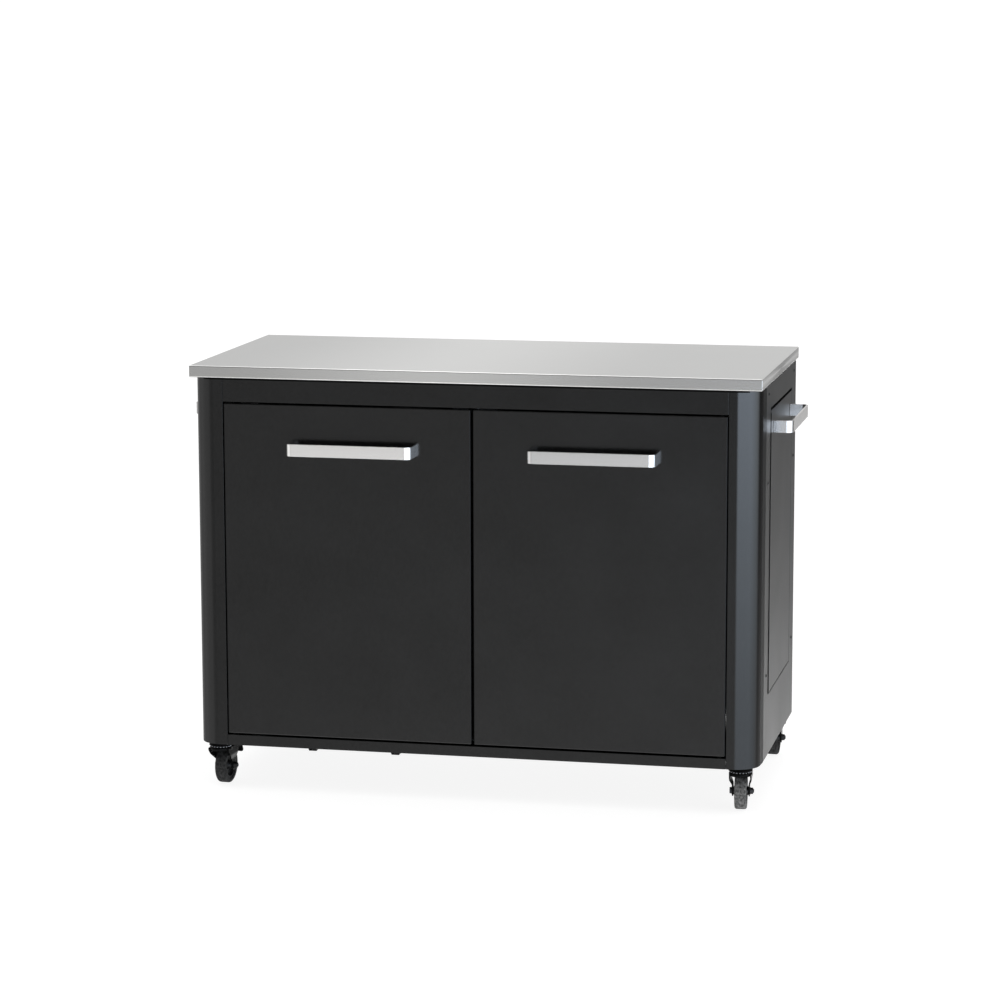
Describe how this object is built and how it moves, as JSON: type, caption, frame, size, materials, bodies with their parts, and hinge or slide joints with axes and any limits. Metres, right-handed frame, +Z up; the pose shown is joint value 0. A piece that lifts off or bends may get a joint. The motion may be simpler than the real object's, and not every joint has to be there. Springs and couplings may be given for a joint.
{
  "type": "outdoor kitchen table",
  "caption": "Rolling outdoor kitchen cabinet: folded steel worktop over a black cabinet with hinged doors, round front corners, flat bar handles and braked swivel casters.",
  "frame": {"origin": "on the floor under the middle of the bounding box", "axes": "+Z up, doors face -Y, +X to the right of someone who faces the doors"},
  "size_m": [1.246, 0.625, 0.883],
  "materials": {
    "stainless": "brushed, semi-gloss",
    "powder_coat": "fine matt powder coat",
    "side_coat": "fine satin powder coat",
    "zinc_steel": "zinc plated",
    "caster_steel": "black gloss plating",
    "tyre_rubber": "dark grey, matt",
    "hub_plastic": "black, satin",
    "catch_plastic": "black, matt"
  },
  "bodies": {
    "cabinet": {"back_panel": "powder_coat", "bottom_rail": "powder_coat", "divider_panel": "powder_coat", "door_catch_left": "catch_plastic", "door_catch_right": "catch_plastic", "floor_brace_left": "powder_coat", "floor_brace_right": "powder_coat", "floor_panel": "powder_coat", "front_left_caster_mount": "caster_steel", "front_post_left": "powder_coat", "front_post_right": "powder_coat", "front_right_caster_mount": "caster_steel", "lower_hinge_pin_left": "zinc_steel", "lower_hinge_pin_right": "zinc_steel", "rear_left_caster_mount": "caster_steel", "rear_post_left": "powder_coat", "rear_post_right": "powder_coat", "rear_rail": "powder_coat", "rear_right_caster_mount": "caster_steel", "shelf": "powder_coat", "side_handle_left": "stainless", "side_handle_right": "stainless", "side_insert_left": "side_coat", "side_insert_right": "side_coat", "side_panel_left": "side_coat", "side_panel_right": "side_coat", "top_rail": "powder_coat", "upper_hinge_pin_left": "zinc_steel", "upper_hinge_pin_right": "zinc_steel", "worktop_skin": "stainless", "worktop_stiffener_front": "zinc_steel", "worktop_stiffener_rear": "zinc_steel"},
    "left_door": {"door_handle_left": "stainless", "door_liner_left": "powder_coat", "door_panel_left": "powder_coat"},
    "right_door": {"door_handle_right": "stainless", "door_liner_right": "powder_coat", "door_panel_right": "powder_coat"},
    "front_left_swivel": {"front_left_caster_fork": "caster_steel", "front_left_axle_bolt": "zinc_steel"},
    "front_left_wheel": {"front_left_tyre": "tyre_rubber", "front_left_hub": "hub_plastic"},
    "front_left_brake": {"front_left_brake_pedal": "caster_steel"},
    "front_right_swivel": {"front_right_caster_fork": "caster_steel", "front_right_axle_bolt": "zinc_steel"},
    "front_right_wheel": {"front_right_tyre": "tyre_rubber", "front_right_hub": "hub_plastic"},
    "front_right_brake": {"front_right_brake_pedal": "caster_steel"},
    "rear_left_swivel": {"rear_left_caster_fork": "caster_steel", "rear_left_axle_bolt": "zinc_steel"},
    "rear_left_wheel": {"rear_left_tyre": "tyre_rubber", "rear_left_hub": "hub_plastic"},
    "rear_left_brake": {"rear_left_brake_pedal": "caster_steel"},
    "rear_right_swivel": {"rear_right_caster_fork": "caster_steel", "rear_right_axle_bolt": "zinc_steel"},
    "rear_right_wheel": {"rear_right_tyre": "tyre_rubber", "rear_right_hub": "hub_plastic"},
    "rear_right_brake": {"rear_right_brake_pedal": "caster_steel"}
  },
  "joints": [
    {"name": "left_door_hinge", "type": "hinge", "parent": "cabinet", "child": "left_door", "pos_m": [-0.5043, -0.2665, 0.46], "axis": [0, 0, -1], "range_deg": [0, 110]},
    {"name": "right_door_hinge", "type": "hinge", "parent": "cabinet", "child": "right_door", "pos_m": [0.5043, -0.2665, 0.46], "axis": [0, 0, 1], "range_deg": [0, 110]},
    {"name": "front_left_swivel", "type": "hinge", "parent": "cabinet", "child": "front_left_swivel", "pos_m": [-0.5435, -0.239, 0.08], "axis": [0, 0, 1], "continuous": true},
    {"name": "front_left_wheel_spin", "type": "hinge", "parent": "front_left_swivel", "child": "front_left_wheel", "pos_m": [-0.54148, -0.21007, 0.0375], "axis": [0.9976, -0.0698, 0], "continuous": true},
    {"name": "front_left_brake_pedal", "type": "hinge", "parent": "front_left_swivel", "child": "front_left_brake", "pos_m": [-0.54085, -0.20109, 0.0815], "axis": [-0.9976, 0.0698, 0], "range_deg": [0, 10]},
    {"name": "front_right_swivel", "type": "hinge", "parent": "cabinet", "child": "front_right_swivel", "pos_m": [0.5435, -0.239, 0.08], "axis": [0, 0, 1], "continuous": true},
    {"name": "front_right_wheel_spin", "type": "hinge", "parent": "front_right_swivel", "child": "front_right_wheel", "pos_m": [0.54097, -0.21011, 0.0375], "axis": [0.9962, 0.0872, 0], "continuous": true},
    {"name": "front_right_brake_pedal", "type": "hinge", "parent": "front_right_swivel", "child": "front_right_brake", "pos_m": [0.54019, -0.20114, 0.0815], "axis": [-0.9962, -0.0872, 0], "range_deg": [0, 10]},
    {"name": "rear_left_swivel", "type": "hinge", "parent": "cabinet", "child": "rear_left_swivel", "pos_m": [-0.5435, 0.237, 0.08], "axis": [0, 0, 1], "continuous": true},
    {"name": "rear_left_wheel_spin", "type": "hinge", "parent": "rear_left_swivel", "child": "rear_left_wheel", "pos_m": [-0.5435, 0.266, 0.0375], "axis": [1, 0, 0], "continuous": true},
    {"name": "rear_left_brake_pedal", "type": "hinge", "parent": "rear_left_swivel", "child": "rear_left_brake", "pos_m": [-0.5435, 0.275, 0.0815], "axis": [-1, 0, 0], "range_deg": [0, 10]},
    {"name": "rear_right_swivel", "type": "hinge", "parent": "cabinet", "child": "rear_right_swivel", "pos_m": [0.5435, 0.237, 0.08], "axis": [0, 0, 1], "continuous": true},
    {"name": "rear_right_wheel_spin", "type": "hinge", "parent": "rear_right_swivel", "child": "rear_right_wheel", "pos_m": [0.5435, 0.266, 0.0375], "axis": [1, 0, 0], "continuous": true},
    {"name": "rear_right_brake_pedal", "type": "hinge", "parent": "rear_right_swivel", "child": "rear_right_brake", "pos_m": [0.5435, 0.275, 0.0815], "axis": [-1, 0, 0], "range_deg": [0, 10]}
  ]
}
